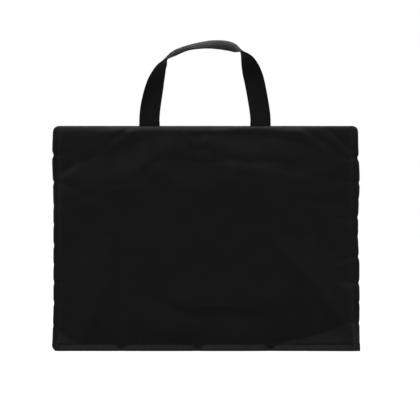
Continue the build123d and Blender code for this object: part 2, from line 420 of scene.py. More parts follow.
# %% Fold lines of the front cover
# Each fold is a groove's depth and half width, then the bank on its right-hand side as the line is walked: its rise,
# the reach of the rise, and the reach of the fall behind it. Then comes the line, as x and height, in millimetres.
FOLDS = [
    # two long arcs that hang from the middle of the top edge, and the dimple between them
    (1.6, 9, 4.0, 46, 110, [(-242, 264), (-211, 289), (-187, 301), (-148, 311), (-117, 323), (-85, 335), (-50, 344)]),
    (1.6, 9, 3.8, 40, 110, [(-6, 338), (60, 342), (99, 336), (131, 330), (162, 323), (190, 311), (212, 294)]),
    (1.3, 5, 1.6, 18, 40, [(-46, 346), (-34, 331), (-22, 317), (-9, 313), (3, 321), (7, 333), (-4, 346)]),
    (0.4, 4, 1.8, 16, 20, [(-34, 345), (-20, 338), (-12, 336), (-6, 338), (4, 345)]),
    # the second row of arcs
    (1.2, 8, 3.2, 38, 90, [(-92, 296), (-45, 302), (-18, 295), (10, 296), (56, 304)]),
    (1.4, 8, 0.6, 14, 40, [(20, 304), (60, 295), (99, 297), (139, 289), (170, 285), (204, 295)]),
    (0.6, 8, 1.3, 32, 70, [(56, 296), (120, 284), (155, 276), (190, 268), (244, 262)]),
    (1.0, 7, 0.0, 10, 10, [(86, 257), (123, 244), (154, 236), (186, 230), (228, 232)]),
    (0.8, 9, 0.0, 10, 10, [(-56, 314), (-85, 291), (-105, 274), (-124, 262), (-180, 258)]),
    # folds that fan out from the left seam
    (1.2, 5, 1.8, 18, 30, [(-246, 270), (-211, 256), (-191, 248), (-170, 242), (-150, 222)]),
    (0.8, 4, 1.0, 12, 20, [(-246, 274), (-222, 284), (-196, 302)]),
    (0.6, 4, 1.5, 12, 12, [(-172, 306), (-151, 330), (-112, 356)]),
    # folds by the top right corner
    (0.8, 4, 0.9, 12, 18, [(168, 346), (190, 327), (205, 315), (228, 296)]),
    (0.9, 4, 0.9, 12, 18, [(188, 352), (221, 323), (242, 298)]),
    (0.8, 4, 1.2, 12, 18, [(148, 352), (170, 338), (192, 318)]),
    # ledges in the lower half: the cloth comes out to a soft ridge, and falls back under it
    (-3.6, 12, -3.6, 62, 90, [(244, 14), (198, 67), (178, 95), (154, 122), (108, 178)]),
    (-3.2, 12, -3.4, 52, 80, [(-150, 178), (-166, 91), (-175, 60), (-202, 0)]),
    (-1.2, 9, -1.1, 26, 30, [(-110, 0), (-148, 32), (-184, 68)]),
    (-2.2, 11, -1.8, 50, 60, [(98, 72), (48, 74), (-3, 73), (-34, 74), (-80, 90)]),
    (0.9, 8, 3.2, 38, 50, [(-34, 58), (20, 62), (62, 60), (108, 46)]),
    (1.0, 8, 3.4, 38, 50, [(-134, 90), (-77, 83), (-58, 69), (-34, 61), (0, 40)]),
    (0.6, 3, 0.7, 15, 60, [(52, 220), (48, 190), (47, 150), (66, 122)]),
    (0.5, 3, 0.7, 12, 20, [(46, 161), (70, 152), (98, 143)]),
    (0.4, 4, 0.7, 16, 40, [(-204, 199), (-175, 186), (-142, 181)]),
    (0.4, 4, 0.6, 16, 60, [(-155, 186), (-157, 140), (-153, 90)]),
    # the slack in the bottom corners
    (0.8, 6, 10.0, 38, 60, [(40, 0), (139, 17), (190, 30), (221, 42), (270, 76)]),
    (0.7, 6, 8.0, 34, 40, [(-272, 70), (-236, 40), (-212, 18), (-166, 0)]),
    # short creases at the right seam
    (0.8, 3, 0.8, 10, 20, [(198, 209), (222, 206), (244, 208)]),
    (0.8, 3, 0.8, 10, 20, [(200, 137), (224, 147), (244, 148)]),
    (0.7, 3, 0.8, 10, 20, [(205, 115), (224, 106), (244, 107)]),
]
# Puckers along the side seams: the height, the depth of the notch in the edge and its half width, in millimetres
LEFT_PUCKERS = [(308, 2.6, 4.0), (265, 1.6, 3.5), (228, 0.7, 4), (198, 0.8, 4), (166, 1.5, 3.5), (135, 0.7, 4),
                (107, 1.5, 3.5), (75, 1.4, 3.5), (40, 0.8, 3)]
RIGHT_PUCKERS = [(303, 2.6, 4.0), (264, 1.4, 3.5), (238, 0.7, 4), (210, 1.4, 3.5), (180, 0.7, 4), (148, 1.6, 4.0),
                 (107, 1.4, 3.5), (76, 0.8, 4), (44, 0.9, 3)]
# Where a side bows out between its corners, in the same way
LEFT_BOWS = [(305, 2.0, 42)]
RIGHT_BOWS = [(268, 2.6, 40), (135, 1.5, 26), (85, 1.0, 30)]
SEAM_IN = 8.0  # the seam's distance in from the sides, in millimetres
FOOT_SEAM = 10.5  # and its height above the ground
SEAM_WIDE, SEAM_DEEP = 2.2, 1.1  # the groove that the seam pulls in
FOOT_SEAM_SHARE = 0.15  # and how much of that depth it has at the foot
FULL_FROM_TOP, FULL_FROM_FOOT = 100.0, 80.0  # the padding is at its fullest this far from the top and the foot
RIM_PUFF, FULL_PUFF = (1.6, 14), (1.8, 75)  # the padding's rise beside the seam and further in, and its reach
RIM_ROLL = 0.8  # the rise from the rim to the seam
RIM_REACH, CREASE_REACH = 7.0, 12  # how far in a pucker moves the rim, and creases the cloth
CREASE_DEEP = 0.55  # the crease's depth for each millimetre of the notch
WAVES = ((0.9, 60, 0), (0.25, 20, 7))  # soft waves all over: their height, their size and their place in the noise
FOOT_TUCK = 3.0  # how far the foot goes in behind the spine's cloth
TOP_ROLL = 2.6  # how far the top edge rolls over
RIGHT_SPLAY, LEFT_SPLAY = (2.8, 170), (2.2, 65)  # how far the foot's ends splay, and from what height
CORNER_TUCK = (6, 9, 24)  # the round corner at the left end of the foot: how far in, how high and how long
print("folds", len(FOLDS), "puckers", len(LEFT_PUCKERS) + len(RIGHT_PUCKERS))

# %% Pressing folds into a cover


def line_frame(x, z, line):
    """For each point, its distance from a line of straight runs, its side (positive is right) and its share along."""
    nearest = np.full(x.shape, 1e9)
    side = np.ones(x.shape)
    passed = np.zeros(x.shape)
    length = sum(math.dist(a, b) for a, b in zip(line, line[1:]))
    done = 0.0
    for (ax, az), (bx, bz) in zip(line, line[1:]):
        run = np.array((bx - ax, bz - az), float)
        share = np.clip(((x - ax) * run[0] + (z - az) * run[1]) / (run @ run), 0, 1)
        off_x, off_z = x - ax - share * run[0], z - az - share * run[1]
        away = np.hypot(off_x, off_z)
        closer = away < nearest
        right = (off_x * run[1] - off_z * run[0]) / (np.hypot(*run) * np.maximum(away, 1e-6))
        side = np.where(closer, right, side)
        passed = np.where(closer, done + share * np.hypot(*run), passed)
        nearest = np.where(closer, away, nearest)
        done += np.hypot(*run)
    return nearest, side, passed / length


def rounded_line(line, times=2):
    """Cuts a line's corners, so that a fold bends softly."""
    for _ in range(times):
        points = [line[0]]
        for a, b in zip(line, line[1:]):
            points.append((a[0] * 0.75 + b[0] * 0.25, a[1] * 0.75 + b[1] * 0.25))
            points.append((a[0] * 0.25 + b[0] * 0.75, a[1] * 0.25 + b[1] * 0.75))
        points.append(line[-1])
        line = points
    return line


def fold_relief(x, z):
    """How far the folds push each point out, in millimetres."""
    height = np.zeros(x.shape)
    for groove, half_width, bank, reach, fall, line in FOLDS:
        away, side, share = line_frame(x, z, rounded_line(line))
        taper = np.sin(math.pi * np.clip(share, 0, 1)) ** 0.75  # a fold runs out at both ends
        wide = reach * (0.25 + 0.75 * taper)
        # on its right the cloth climbs evenly out of the groove and stops without a corner, and then falls slowly
        climbed = np.maximum(1 - np.log1p(np.exp(7 * (1 - away / wide))) / 7, 0)
        fallen = np.exp(-(np.maximum(away - wide, 0) / fall) ** 1.5)
        right = bank * climbed * fallen - groove * (1 - climbed)
        left = -groove * np.exp(-(away / half_width) ** 2)
        share_right = np.clip(side / 2 + 0.5, 0, 1)
        share_right = share_right ** 2 * (3 - 2 * share_right)
        height += taper * (share_right * right + (1 - share_right) * left)
    return height


def pucker_relief(z, puckers):
    """How far the puckers of one side pull the edge in, at each height."""
    return sum(deep * np.exp(-((z - height) / half) ** 2) for height, deep, half in puckers)


def clouds(places, size, seed):
    """Soft noise at each point, from -1 to 1, for features of a size in millimetres."""
    return np.array([noise.noise(Vector((x / size + seed, y / size, z / size - seed))) for x, y, z in places])


CASE_HALF = shell_high.x / MM
CASE_TOP = shell_high.z / MM
OUT_FACE = -shell_low.y / MM
IN_FACE = -shell_high.y / MM
LINING_THICK = 0.4


SEAM_DIPS = (-132, -12, 101)  # where the foot's slack is caught and the seam dips, in millimetres
DIP_DEEP, DIP_HALF = 6.6, 7  # how far it dips, and the dip's half width


def foot_seam(x):
    """The height of the seam between the spine's cloth and a cover, in millimetres."""
    ripple = clouds(np.stack((x, 0 * x, 0 * x), 1), 34, 5.0)
    return FOOT_SEAM + 0.8 * ripple - sum(DIP_DEEP * np.exp(-((x - dip) / DIP_HALF) ** 2) for dip in SEAM_DIPS)


def corner_tuck(x, z):
    """How far the slack at the left end of the foot is turned in, so that its corner is round."""
    far, high, long = CORNER_TUCK
    return far * np.clip(1 - z / high, 0, 1) ** 2 * np.clip((long + 1 - CASE_HALF - x) / long, 0, 1)


def press_folds(obj, flip, seed):
    """Shapes a front-facing cover: seams, puffs, folds and puckers. Flip mirrors the folds from left to right."""
    places = points_of(obj) / MM
    x, y, z = places.T
    fold_x = -x if flip else x
    side_in, foot_in, top_in = CASE_HALF - np.abs(x), z, CASE_TOP - z
    rim = np.minimum(side_in, np.minimum(foot_in, top_in))
    outer = np.clip((-y - IN_FACE) / (OUT_FACE - IN_FACE), 0, 1)
    # Puckers pull the rim in and crease the cloth beside the seam
    left = pucker_relief(z, RIGHT_PUCKERS if flip else LEFT_PUCKERS)
    right = pucker_relief(z, LEFT_PUCKERS if flip else RIGHT_PUCKERS)
    near_left = np.exp(-((x + CASE_HALF) / RIM_REACH) ** 2)
    near_right = np.exp(-((CASE_HALF - x) / RIM_REACH) ** 2)
    x = x + (left - pucker_relief(z, LEFT_BOWS)) * near_left - (right - pucker_relief(z, RIGHT_BOWS)) * near_right
    crease_left = left * np.exp(-np.maximum(x + CASE_HALF - 5, 0) / CREASE_REACH)
    crease_right = right * np.exp(-np.maximum(CASE_HALF - x - 5, 0) / CREASE_REACH)
    # The seam's groove, on the sides and at the foot, and the puffs on both sides of it
    groove = np.zeros(x.shape)
    seam_z = foot_seam(x)
    for away, seam_in, depth in ((side_in, SEAM_IN, 1.0), (foot_in, seam_z, FOOT_SEAM_SHARE)):
        groove = np.maximum(groove, depth * np.exp(-((away - seam_in) / SEAM_WIDE) ** 2))
    puff = np.zeros(x.shape)
    for rise, reach in (RIM_PUFF, FULL_PUFF):
        inside = np.clip((side_in - SEAM_IN) / reach, 0, 1)
        puff += rise * inside * (2 - inside)
    puff *= 0.5 + 0.5 * np.clip(top_in / FULL_FROM_TOP, 0, 1)
    puff *= 0.6 + 0.4 * np.clip(foot_in / FULL_FROM_FOOT, 0, 1)
    roll = RIM_ROLL * np.clip(rim / SEAM_IN, 0, 1)
    flat = np.stack((fold_x, z * 0 + seed, z), 1)
    waves = sum(high * clouds(flat, size, seed + offset) for high, size, offset in WAVES)
    calm = np.clip((rim - 1.5) / 9, 0, 1)  # the rim is held still
    height = roll + puff - SEAM_DEEP * groove + calm * (waves + fold_relief(fold_x, z))
    height -= CREASE_DEEP * (crease_left + crease_right) * np.clip(rim / 6, 0, 1)
    height -= FOOT_TUCK * np.clip(1 - foot_in / seam_z, 0, 1)
    # The top edge rolls over, more widely towards the corners
    rolled = 11 + 12 * np.clip((np.abs(x) - 150) / 60, 0, 1)
    height -= TOP_ROLL * np.clip(1 - top_in / rolled, 0, 1) ** 1.6
    # The foot of the case is slack, and splays at its ends
    tuck = corner_tuck(x, z)
    for way, (splay, from_height) in ((1, RIGHT_SPLAY), (-1, LEFT_SPLAY)):
        x = x + way * splay * np.clip(way * x / CASE_HALF, 0, 1) ** 3 * np.clip(1 - z / from_height, 0, 1)
    x = x + tuck
    y = y - height * outer ** 2
    move_points(obj, np.stack((x, y, z), 1) * MM)


print("relief at the middle", fold_relief(np.array([0.0]), np.array([180.0])))

# %% Making a cover


def select_edges(obj, test):
    """In edit mode, selects the edges whose two ends pass a test."""
    bpy.ops.mesh.select_mode(type="EDGE")
    bpy.ops.mesh.select_all(action="DESELECT")
    mesh = bmesh.from_edit_mesh(obj.data)
    for edge in mesh.edges:
        if all(test(v.co) for v in edge.verts):
            edge.select_set(True)
    mesh.select_flush_mode()
    bmesh.update_edit_mesh(obj.data)


def rounded_box(low, high, corner, edge):
    """A box whose top corners and front rim are rounded."""
    deselect()
    bpy.ops.mesh.primitive_cube_add(size=1, location=(low + high) / 2, scale=high - low)
    obj = bpy.context.object
    settle(obj)
    bpy.ops.object.mode_set(mode="EDIT")
    near = 0.1 * MM
    for side in (low.x, high.x):
        select_edges(obj, lambda p: abs(p.x - side) < near and abs(p.z - high.z) < near)
        bpy.ops.mesh.bevel(offset=corner, segments=8, affect="EDGES")
    select_edges(obj, lambda p: abs(p.y - low.y) < near)
    bpy.ops.mesh.bevel(offset=edge, segments=4, affect="EDGES")
    bpy.ops.object.mode_set(mode="OBJECT")
    return obj


COVER_VOXEL = 3.6 * MM
COVER_CORNER, COVER_EDGE = 9 * MM, 2 * MM  # the roundness of a cover's top corners and of its front rim


def make_cover(flip, seed):
    """One padded cover, facing front."""
    low = Vector(shell_low)
    high = Vector((shell_high.x, shell_high.y - LINING_THICK * MM, shell_high.z))
    cover = rounded_box(low, high, COVER_CORNER, COVER_EDGE)
    alone(cover)
    cover.data.remesh_voxel_size = COVER_VOXEL
    bpy.ops.object.voxel_remesh()
    subdivide = cover.modifiers.new("soften", "SUBSURF")
    subdivide.levels = subdivide.render_levels = 1
    apply_all(cover)
    press_folds(cover, flip, seed)
    return cover


covers = {}
for side, flip, seed in (("front", False, 3.0), ("back", True, 11.0)):
    cover = make_cover(flip, seed)
    if side == "back":
        turn_to_back(cover)
    smooth(cover)
    dress(cover, f"{side}_padded_cover", "nylon")
    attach(cover, f"{side}_cover")
    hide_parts(f"{side}_shell", f"{side}_foam")
    covers[side] = cover
    print(cover.name, len(cover.data.polygons), "faces")

# %% [markdown]
# ## Spine
# The nylon that joins the covers runs under the spine and up the foot of each cover, where it is sewn down. Each
# half starts as a flat grid as wide as the case, and is rolled up round the edge.

# %% Spine cloth
SPINE_UNDER = 0.4  # the middle of the cloth under the spine, in millimetres
SPINE_LEAN = 0.38  # how far the slack leans out for each millimetre below the crease
SPINE_STEPS = (200, 28)  # the grid's steps along the spine, and from its middle to the seam
FOOT_ROW = 16  # the row at the spine's edge, where the cloth turns up
SPINE_THICK = 0.6
SPINE_SPLAY = (2.9, -2.1)  # how far the cloth splays at its right and left ends


def make_spine_half(cover, way):
    """The spine's cloth from under the middle to the seam on a cover, turned to the front, and its flat width."""
    surface = BVHTree.FromObject(cover, bpy.context.evaluated_depsgraph_get())
    deselect()
    steps_long, steps_round = SPINE_STEPS
    bpy.ops.mesh.primitive_grid_add(x_subdivisions=steps_long, y_subdivisions=steps_round, size=1)
    cloth = bpy.context.object
    places = points_of(cloth)
    row = np.rint((places[:, 1] + 0.5) * steps_round).astype(int)
    x = places[:, 0] * 2 * (CASE_HALF - 0.5)
    # the cloth's top edge lies on the cover, and the slack leans out below a crease that dips here and there
    lie = np.zeros(x.shape)
    for i in range(len(x)):
        spot = Vector((np.clip(x[i], -CASE_HALF + 6, CASE_HALF - 6) * MM, way * 0.2, (FOOT_SEAM + 1.5) * MM))
        place, _, _, _ = surface.ray_cast(spot, Vector((0, -way, 0)))
        lie[i] = abs(place.y) / MM - 0.25
    crease = foot_seam(x)
    up = np.clip((row - FOOT_ROW) / (steps_round - FOOT_ROW), 0, 1)
    height = SPINE_UNDER + 0.2 * np.clip(up * 4, 0, 1) + (FOOT_SEAM + 0.4) * up
    lean = np.log1p(np.exp((crease - height) * 1.2)) / 1.2  # a soft bend at the crease
    foot_lean = np.log1p(np.exp((crease - SPINE_UNDER) * 1.2)) / 1.2
    depth = lie + SPINE_LEAN * np.where(row > FOOT_ROW, lean, foot_lean)
    depth -= 0.5 * np.clip(1 - up * 8, 0, 1) * (row >= FOOT_ROW)  # a soft turn at the spine's edge
    depth = np.where(row > FOOT_ROW, depth, depth * np.clip(row / FOOT_ROW, 0, 1))
    out = np.clip((np.abs(x) - 150) / 90, 0, 1) ** 3
    x = x + np.where(x > 0, *SPINE_SPLAY) * out * np.where(row > FOOT_ROW - 2, 1, 0.4) + corner_tuck(x, height)
    # the flat width is measured along one line of points, away from the dips
    middle = np.argsort(np.abs(x - 60) * 100 + row)[:steps_round + 1]
    middle = middle[np.argsort(row[middle])]
    width = np.hypot(np.diff(depth[middle]), np.diff(height[middle])).sum()
    move_points(cloth, np.stack((x, -depth, height), 1) * MM)
    thicken(cloth, SPINE_THICK)
    return cloth, width


for side in ("front", "back"):
    way = -1 if side == "front" else 1
    half, half_width = make_spine_half(covers[side], way)
    if side == "back":
        turn_to_back(half)
    smooth(half)
    dress(half, f"{side}_spine_cloth", "nylon")
    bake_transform(half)
    if side == "front":
        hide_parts("spine_panel")
    print(half.name, len(half.data.polygons), "faces")

# %% [markdown]
# ## Handles
# A handle is one length of webbing. Its ends are sewn flat inside the cover, its legs stand up out of the top edge
# and its top rolls over on to its side, which narrows it to its edge where it turns. It is laid along its route
# from a flat grid, whose map keeps the weave square to the strap.

# %% Route of the webbing
# Each station is x, height above the cover's top, the turn from facing front, and the hollow across the strap
# (millimetres and degrees).
ends_low, ends_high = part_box("front_handle_ends")
STRAP_HALF = STRAP_WIDE / MM / 2
LEFT_FOOT = ends_low.x / MM + STRAP_HALF
RIGHT_FOOT = ends_high.x / MM - STRAP_HALF
SEWN_IN = 48  # how much of each end is sewn in
STRAP_STATIONS = [
    (LEFT_FOOT, -SEWN_IN, 0, 0), (LEFT_FOOT, -SEWN_IN / 2, 0, 0), (LEFT_FOOT, 0, 0, 0.2),
    (-87.8, 23, 5, 0.6), (-84.4, 44, 18, 1.2), (-80, 63.5, 32, 2.0), (-76, 76.5, 45, 2.8), (-70.4, 90.3, 62, 3.4),
    (-65, 98.5, 76, 3.6), (-60.5, 105, 92, 3.4), (-49.8, 113.8, 107, 2.8), (-29.5, 122.3, 107, 2.2),
    (-8.3, 126.5, 111, 2.0), (12.8, 128, 117, 2.0), (35, 125.8, 120, 2.4), (48, 120.8, 112, 3.0),
    (57, 114.5, 84, 3.2), (64, 105, 56, 2.8), (68.8, 95, 38, 2.2), (72.6, 84, 23, 1.6), (76.6, 70, 13, 1.2),
    (81.6, 44, 6, 0.8), (85.4, 20, 2, 0.3),
    (RIGHT_FOOT, 0, 0, 0.2), (RIGHT_FOOT, -SEWN_IN / 2, 0, 0), (RIGHT_FOOT, -SEWN_IN, 0, 0),
]
ALONG, ACROSS = 261, 17  # the grid's points along and across the strap


def smooth_route(stations, steps):
    """Points along the stations' smooth curve, evenly spaced along it, and the curve's length."""
    knots = np.array(stations, float)
    padded = np.vstack((2 * knots[0] - knots[1], knots, 2 * knots[-1] - knots[-2]))
    fine = []
    for a, b, c, d in zip(padded, padded[1:], padded[2:], padded[3:]):
        for t in np.linspace(0, 1, 24, endpoint=False):
            fine.append(0.5 * (2 * b + (c - a) * t + (2 * a - 5 * b + 4 * c - d) * t ** 2
                               + (3 * b - a - 3 * c + d) * t ** 3))
    fine.append(knots[-1])
    fine = np.array(fine)
    run = np.concatenate(([0], np.cumsum(np.hypot(*np.diff(fine[:, :2], axis=0).T))))
    even = np.linspace(0, run[-1], steps)
    return np.stack([np.interp(even, run, fine[:, i]) for i in range(fine.shape[1])], 1), run[-1]


route, strap_length = smooth_route(STRAP_STATIONS, ALONG)
print("webbing in one handle", round(strap_length), "mm")

# %% Laying the webbing
STRAP_Y = (ends_low.y + ends_high.y) / 2 / MM
STRAP_THICK, STRAP_EDGE = 1.5, 0.4  # the webbing's thickness and the roundness of its edges


def lay_strap():
    """The front handle's webbing, laid along its route from a flat grid."""
    deselect()
    bpy.ops.mesh.primitive_grid_add(x_subdivisions=ACROSS - 1, y_subdivisions=ALONG - 1, size=1, calc_uvs=True)
    strap = bpy.context.object
    flat = points_of(strap)
    row = np.rint((flat[:, 1] + 0.5) * (ALONG - 1)).astype(int)
    across = flat[:, 0] * 2  # from -1 to 1
    ahead = np.gradient(route[:, :2], axis=0)
    ahead /= np.linalg.norm(ahead, axis=1)[:, None]
    turn = np.radians(route[:, 2])
    inward = np.stack((ahead[:, 1], 0 * turn, -ahead[:, 0]), 1)
    wide = inward * np.cos(turn)[:, None] + np.array((0, 1, 0)) * np.sin(turn)[:, None]
    along = np.stack((ahead[:, 0], 0 * turn, ahead[:, 1]), 1)
    up = np.cross(along, wide)
    middle = np.stack((route[:, 0], 0 * turn + STRAP_Y, CASE_TOP + route[:, 1]), 1)
    hollow = route[row, 3] * (1 - across ** 2)
    places = middle[row] + wide[row] * (across * STRAP_HALF)[:, None] + up[row] * hollow[:, None]
    move_points(strap, places * MM)
    thicken(strap, STRAP_THICK)
    edges = strap.modifiers.new("edges", "BEVEL")
    edges.width = STRAP_EDGE * MM
    edges.segments = 2
    edges.limit_method = "ANGLE"
    edges.angle_limit = math.radians(60)
    apply_all(strap)
    return strap


def hang_back(strap, axis_y, axis_z):
    """Folds a back handle over the top edge, so that its loop hangs outside."""
    places = points_of(strap)
    share = np.clip((places[:, 2] - (axis_z - BEND)) / (2 * BEND), 0, 1)
    turn = -math.radians(HANG) * share * share * (3 - 2 * share)
    y = places[:, 1] - axis_y
    z = places[:, 2] - axis_z
    places[:, 1] = axis_y + y * np.cos(turn) - z * np.sin(turn)
    places[:, 2] = axis_z + y * np.sin(turn) + z * np.cos(turn)
    move_points(strap, places)


swings = {j["name"]: j for j in frame["joints"]}
HANG = 170  # how far over the back handle hangs, in degrees
BEND, HUNG_BEND = 6 * MM, 4.8 * MM  # half the length of webbing that bends at the top edge, upright and hung over
for side in ("front", "back"):
    strap = lay_strap()
    _, axis_y, axis_z = swings[f"{side}_handle_swing"]["pos_m"]
    if side == "back":
        turn_to_back(strap)
        hang_back(strap, axis_y, axis_z)
    smooth(strap, 50)
    dress(strap, f"{side}_webbing_handle", "webbing")
    if side == "front":
        start, end = (0, 0, axis_z - BEND), (0, 0, axis_z + BEND)
    else:
        start, end = (0, axis_y - HUNG_BEND, axis_z), (0, axis_y + HUNG_BEND, axis_z)
    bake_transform(strap)
    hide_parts(f"{side}_handle", f"{side}_handle_ends")
    print(strap.name, len(strap.data.polygons), "faces")

# %% [markdown]
# ## Linings
# Each cover is lined with a thin, flat cloth that the zip's hem holds round its edge, and a narrow strip lines the
# spine. They are grids whose corners are drawn in to the case's rounded outline, with a faint ripple where the
# cloth isn't quite taut, and a wall as thin as the cloth.

# %% Lining cloths


def lining_sheet(wide, high, corner, steps):
    """A flat upright sheet whose two top corners are rounded, in millimetres, with its foot at height 0."""
    deselect()
    bpy.ops.mesh.primitive_grid_add(x_subdivisions=steps[0], y_subdivisions=steps[1], size=1, calc_uvs=True)
    obj = bpy.context.object
    places = points_of(obj)
    x, z = places[:, 0] * wide, (places[:, 1] + 0.5) * high
    over_x = np.maximum(np.abs(x) - (wide / 2 - corner), 0)
    over_z = np.maximum(z - (high - corner), 0)
    long = np.maximum(np.hypot(over_x, over_z), 1e-6)
    draw = np.where(long > 0, np.maximum(over_x, over_z) / long, 1)
    x = np.sign(x) * (np.abs(x) - over_x * (1 - draw))
    z = z - over_z * (1 - draw)
    move_points(obj, np.stack((x, 0 * x, z), 1) * MM)
    return obj


LINING_CORNER, LINING_STEPS = 10.0, (120, 88)
RIPPLE, RIPPLE_SIZE = 0.5, 45  # the height and size of the ripple in the lining
lining_low, lining_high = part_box("front_lining")
for side in ("front", "back"):
    wide = (lining_high.x - lining_low.x) / MM
    high = (lining_high.z - lining_low.z) / MM
    cloth = lining_sheet(wide, high, LINING_CORNER, LINING_STEPS)
    places = points_of(cloth)
    rim = np.minimum(wide / 2 - np.abs(places[:, 0] / MM), np.minimum(places[:, 2] / MM, high - places[:, 2] / MM))
    ripple = 0.5 + clouds(places / MM * (1, 0, 1), RIPPLE_SIZE, 21.0 if side == "front" else 33.0)
    free = np.clip((rim - 18) / 40, 0, 1)  # the hem holds the rim flat
    places[:, 1] = (lining_high.y / MM - LINING_THICK / 2 + RIPPLE * ripple * free) * MM
    places[:, 2] += lining_low.z
    move_points(cloth, places)
    thicken(cloth, LINING_THICK)
    if side == "back":
        turn_to_back(cloth)
    smooth(cloth)
    dress(cloth, f"{side}_lining_cloth", "lining")
    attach(cloth, f"{side}_cover")
    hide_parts(f"{side}_lining")
    print(cloth.name, round(wide), "by", round(high), "mm")

strip_low, strip_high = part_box("spine_lining")
strip_long, strip_wide = strip_high.x - strip_low.x, strip_high.y - strip_low.y
deselect()
bpy.ops.mesh.primitive_grid_add(x_subdivisions=120, y_subdivisions=10, size=1)
strip = bpy.context.object
places = points_of(strip) * (strip_long, strip_wide, 1)
places[:, 2] = strip_high.z - LINING_THICK / 2 * MM
places[:, 2] -= 0.1 * MM * (1 + clouds(places / MM, 30, 8.0)) * (1 - (places[:, 1] / (strip_wide / 2)) ** 2)
move_points(strip, places)
thicken(strip, LINING_THICK)
smooth(strip)
dress(strip, "spine_lining_cloth", "lining")
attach(strip, "spine")
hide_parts("spine_lining")
print(strip.name, round(strip_long / MM), "by", round(strip_wide / MM), "mm")

# %% [markdown]
# ## Linings of the two hinges
# A narrow strip of the same lining is sewn to the spine along one edge and laps up over the foot of a cover's lining
# along the other. It lies flat under the closed cover, and closes the gap that opens at the hinge when the cover is
# laid back.

# %% Hinge linings
# Each point is a distance out from the middle of the spine and a height, in millimetres.
HINGE_PATH = np.array([(16.3, 2.75), (9.5, 2.75), (8.95, 3.0), (8.7, 3.6), (8.7, 6.0)])
HINGE_THICK = 0.3

hinge_run = np.concatenate(([0], np.cumsum(np.hypot(*np.diff(HINGE_PATH, axis=0).T))))
hinge_wide = hinge_run[-1]
hinge_long = 2 * (CASE_HALF - 1.5)
for side in ("front", "back"):
    way = -1 if side == "front" else 1
    deselect()
    bpy.ops.mesh.primitive_grid_add(x_subdivisions=120, y_subdivisions=24, size=1)
    strip = bpy.context.object
    places = points_of(strip)
    along = (places[:, 1] + 0.5) * hinge_wide
    out = np.interp(along, hinge_run, HINGE_PATH[:, 0])
    height = np.interp(along, hinge_run, HINGE_PATH[:, 1])
    move_points(strip, np.stack((places[:, 0] * hinge_long, way * out, height), 1) * MM)
    thicken(strip, HINGE_THICK)
    smooth(strip)
    dress(strip, f"{side}_hinge_lining", "lining")
    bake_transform(strip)
    print(strip.name, round(hinge_long), "by", round(hinge_wide, 1), "mm")

# %% [markdown]
# ## Zip and hem
# The hem, the zip's tape and its coil all run up one side, round a corner, along the top, round the other corner and
# down. So one line serves them all: it gives the place and the outward direction at any length along the zip, and
# each piece is a section swept along it, which is given as distances in from the case's edge and depths.

# %% The zip's line
ZIP_IN = 7.0  # the zip's distance in from the case's edge
ZIP_RADIUS = 16.0  # and the radius of its corners
ZIP_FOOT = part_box("front_zip_tape")[0].z / MM
ZIP_LEG = CASE_TOP - ZIP_IN - ZIP_RADIUS - ZIP_FOOT
ZIP_ARC = ZIP_RADIUS * math.pi / 2
ZIP_TOP_RUN = 2 * (CASE_HALF - ZIP_IN - ZIP_RADIUS)
ZIP_LONG = 2 * ZIP_LEG + 2 * ZIP_ARC + ZIP_TOP_RUN


def zip_line(along, inset):
    """The place and the outward direction on the zip's line, at lengths along it and insets from the case's edge."""
    centre_x, centre_z = CASE_HALF - ZIP_IN - ZIP_RADIUS, CASE_TOP - ZIP_IN - ZIP_RADIUS
    half = ZIP_LONG / 2
    side = np.where(along < half, -1.0, 1.0)
    left = half - np.abs(along - half)  # length from the nearer foot
    turn = np.clip((left - ZIP_LEG) / ZIP_RADIUS, 0, math.pi / 2)
    out_x, out_z = np.cos(turn), np.sin(turn)
    reach = ZIP_RADIUS + ZIP_IN - inset
    past = np.maximum(left - ZIP_LEG - ZIP_ARC, 0)
    x = centre_x - past + reach * out_x
    z = centre_z - np.maximum(ZIP_LEG - left, 0) + reach * out_z
    return side * x, z, side * out_x, out_z


print("zip", round(ZIP_LONG), "mm long")

# %% Sweeping a section along the zip


def stations(start, end, spacing):
    """Lengths along the zip from start to end, spaced for its runs and closer in its corners."""
    stops = [start, ZIP_LEG, ZIP_LEG + ZIP_ARC, ZIP_LONG - ZIP_LEG - ZIP_ARC, ZIP_LONG - ZIP_LEG, end]
    stops = sorted({min(max(stop, start), end) for stop in stops})
    lengths = [np.linspace(a, b, max(2, math.ceil((b - a) / spacing) + 1))[:-1] for a, b in zip(stops, stops[1:])]
    return np.concatenate(lengths + [[end]])


def sweep(section, start, end, spacing=2.5):
    """A ribbon along the zip. The section is a list of insets and depths in from the middle plane, in millimetres."""
    along = stations(start, end, spacing)
    across = np.array(section, float)
    deselect()
    bpy.ops.mesh.primitive_grid_add(x_subdivisions=len(across) - 1, y_subdivisions=len(along) - 1, size=1)
    obj = bpy.context.object
    flat = points_of(obj)
    column = np.rint((flat[:, 0] + 0.5) * (len(across) - 1)).astype(int)
    row = np.rint((flat[:, 1] + 0.5) * (len(along) - 1)).astype(int)
    x, z, _, _ = zip_line(along[row], across[column, 0])
    move_points(obj, np.stack((x, -across[column, 1], z), 1) * MM)
    return obj


def face_out(obj):
    """Turns a closed piece's faces outwards."""
    alone(obj)
    bpy.ops.object.mode_set(mode="EDIT")
    bpy.ops.mesh.select_all(action="SELECT")
    bpy.ops.mesh.normals_make_consistent(inside=False)
    bpy.ops.object.mode_set(mode="OBJECT")


